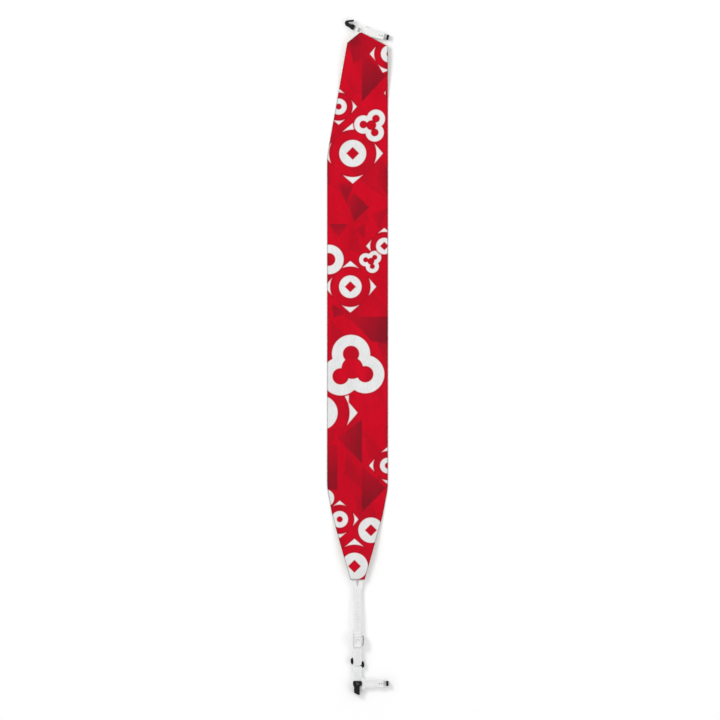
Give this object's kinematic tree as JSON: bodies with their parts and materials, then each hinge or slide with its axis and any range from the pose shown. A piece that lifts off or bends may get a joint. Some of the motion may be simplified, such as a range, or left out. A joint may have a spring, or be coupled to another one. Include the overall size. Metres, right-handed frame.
{
  "type": "splitboard climbing skin",
  "caption": "Climbing skin for one half of a split snowboard: plush strip over an adhesive face, with swinging tip and side edge hooks, and a strap with a buckle and tail hook.",
  "frame": {"origin": "on the adhesive face, on the strip's centreline, at the middle of the strip's length", "axes": "+Y along the strip towards its tip, +X towards the straight inner edge, +Z out of the plush side"},
  "size_m": [0.1435, 1.5581, 0.0205],
  "materials": {
    "plush": "short directional nap, printed",
    "glue": "tacky satin",
    "strap": "translucent moulded urethane",
    "nylon": "moulded satin",
    "black_plastic": "fine moulded texture",
    "blackened_steel": "blackened, satin",
    "steel": "stamped and tumbled",
    "rubber": "matte"
  },
  "bodies": {
    "tail_half": {"tail_plush": "plush", "tail_backing": "glue", "tail_anchor_plate": "nylon", "tail_anchor_rivet_left": "steel", "tail_anchor_rivet_right": "steel", "ladder_strap": "strap"},
    "tip_half": {"tip_plush": "plush", "tip_backing": "glue", "tip_anchor_plate": "nylon", "tip_pivot_rivet": "steel"},
    "tip_arm": {"tip_arm_plate": "nylon", "tip_edge_hook": "steel", "tip_hook_boot": "rubber", "tip_hook_rivet_inner": "steel", "tip_hook_rivet_outer": "steel"},
    "tip_link": {"tip_link_plate": "steel"},
    "tip_hook": {"tip_j_hook": "black_plastic"},
    "strap_end": {"hook_strap": "strap", "buckle_body": "nylon", "buckle_pin": "steel", "buckle_rivet_upper": "steel", "buckle_rivet_lower": "steel", "toggle_rivet": "steel", "side_pivot_rivet": "blackened_steel"},
    "lever": {"buckle_lever": "nylon"},
    "toggle": {"lock_toggle": "black_plastic"},
    "side_arm": {"side_arm_plate": "nylon", "side_edge_hook": "steel", "side_hook_boot": "rubber", "side_hook_rivet_inner": "steel", "side_hook_rivet_outer": "steel"},
    "tail_hook": {"tail_hook": "black_plastic", "tail_hook_stiffener": "steel"}
  },
  "joints": [
    {"name": "skin_fold", "type": "hinge", "parent": "tail_half", "child": "tip_half", "pos_m": [0, 0.02, 0], "axis": [-1, 0, 0], "range_deg": [0, 175]},
    {"name": "tip_arm_pivot", "type": "hinge", "parent": "tip_half", "child": "tip_arm", "pos_m": [0.0028, 0.6377, 0.0092], "axis": [0, 0, 1], "range_deg": [-5, 40]},
    {"name": "tip_link_pivot", "type": "hinge", "parent": "tip_half", "child": "tip_link", "pos_m": [0.0028, 0.6377, 0.0111], "axis": [0, 0, 1], "range_deg": [-30, 40]},
    {"name": "tip_hook_swivel", "type": "hinge", "parent": "tip_link", "child": "tip_hook", "pos_m": [0.0028, 0.6377, 0.0111], "axis": [-0.9063, 0.4226, 0], "range_deg": [-90, 90]},
    {"name": "strap_adjust", "type": "slide", "parent": "tail_half", "child": "strap_end", "axis": [0, 1, 0], "range_m": [-0.03, 0.018]},
    {"name": "buckle_lever_hinge", "type": "hinge", "parent": "strap_end", "child": "lever", "pos_m": [0, -0.7605, 0.0173], "axis": [-1, 0, 0], "range_deg": [0, 95]},
    {"name": "lock_toggle_turn", "type": "hinge", "parent": "strap_end", "child": "toggle", "pos_m": [0, -0.823, 0.0108], "axis": [0, 0, 1], "range_deg": [-45, 22]},
    {"name": "side_arm_pivot", "type": "hinge", "parent": "strap_end", "child": "side_arm", "pos_m": [0, -0.8708, 0.0113], "axis": [0, 0, 1], "range_deg": [-25, 40]},
    {"name": "tail_hook_turn", "type": "hinge", "parent": "strap_end", "child": "tail_hook", "pos_m": [0, -0.8708, 0.015], "axis": [0, 0, 1], "range_deg": [-12, 12]}
  ]
}
